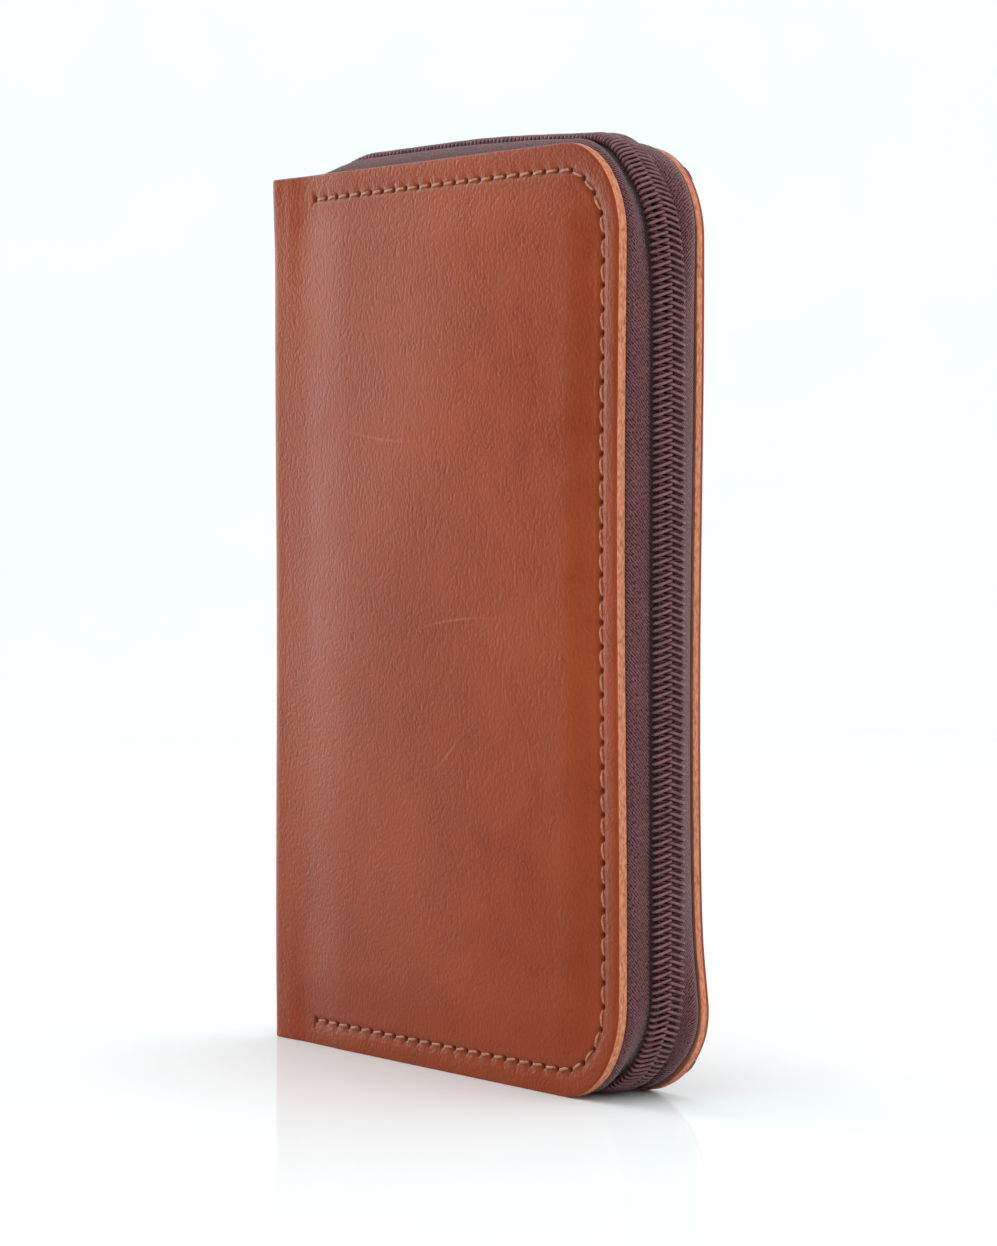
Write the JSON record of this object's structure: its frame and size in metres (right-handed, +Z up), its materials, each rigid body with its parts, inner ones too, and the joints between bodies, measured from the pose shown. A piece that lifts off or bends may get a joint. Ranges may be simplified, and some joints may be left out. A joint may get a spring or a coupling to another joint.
{
  "type": "passport holder",
  "caption": "Zip-around leather passport holder: two stitched covers open flat about a spine, with coil zip, slider and pull, passport sleeve and card slots inside.",
  "frame": {"origin": "middle of the closed holder's footprint: halfway between spine and zip crest and between the two covers, on the plane of the covers' bottom edges", "axes": "+X from the spine to the zipped fore-edge, +Y from the front cover to the back cover, +Z up the holder's height"},
  "size_m": [0.107, 0.0164, 0.1515],
  "materials": {
    "cover_leather": "semi-gloss waxed cognac leather with a fine grain and raw tan edges",
    "pocket_leather": "thin matt brown leather",
    "thread": "waxed polyester thread, light tan",
    "foam": "closed-cell foam sheet",
    "board": "fibre stiffening board",
    "lining": "dark brown twill lining",
    "zip_tape": "woven maroon-brown polyester tape",
    "zip_coil": "satin nylon coil, maroon-brown",
    "zip_metal": "antique brass"
  },
  "bodies": {
    "back_cover": {"back_cover_leather": "cover_leather", "back_stitching": "thread", "back_padding": "foam", "back_board": "board", "back_lining": "lining", "back_zip_tape": "zip_tape", "back_zip_coil": "zip_coil", "back_zip_stops": "zip_metal", "passport_sleeve": "pocket_leather"},
    "spine": {"spine_leather": "cover_leather", "spine_lining": "lining"},
    "front_cover": {"front_cover_leather": "cover_leather", "front_stitching": "thread", "front_padding": "foam", "front_board": "board", "front_lining": "lining", "front_zip_tape": "zip_tape", "front_zip_coil": "zip_coil", "front_zip_stops": "zip_metal", "slip_pocket": "pocket_leather", "card_slot_1": "pocket_leather", "card_slot_2": "pocket_leather", "card_slot_3": "pocket_leather"},
    "slider": {"slider_body": "zip_metal", "slider_pin": "zip_metal"},
    "pull": {"pull_tab": "zip_metal"}
  },
  "joints": [
    {"name": "back_hinge", "type": "hinge", "parent": "back_cover", "child": "spine", "pos_m": [-0.0524, 0.0072, 0], "axis": [0, 0, -1], "range_deg": [0, 90]},
    {"name": "front_hinge", "type": "hinge", "parent": "spine", "child": "front_cover", "pos_m": [-0.0524, -0.0072, 0], "axis": [0, 0, -1], "range_deg": [0, 90]},
    {"name": "slider_slide", "type": "slide", "parent": "back_cover", "child": "slider", "axis": [0.9984, 0, -0.0567], "range_m": [0, 0.065]},
    {"name": "pull_hinge", "type": "hinge", "parent": "slider", "child": "pull", "pos_m": [-0.03963, 0, 0.00203], "axis": [0, 1, 0], "range_deg": [0, 150]}
  ],
  "couplings": [
    {"joint": "front_hinge", "follows": "back_hinge", "ratio": 1}
  ]
}
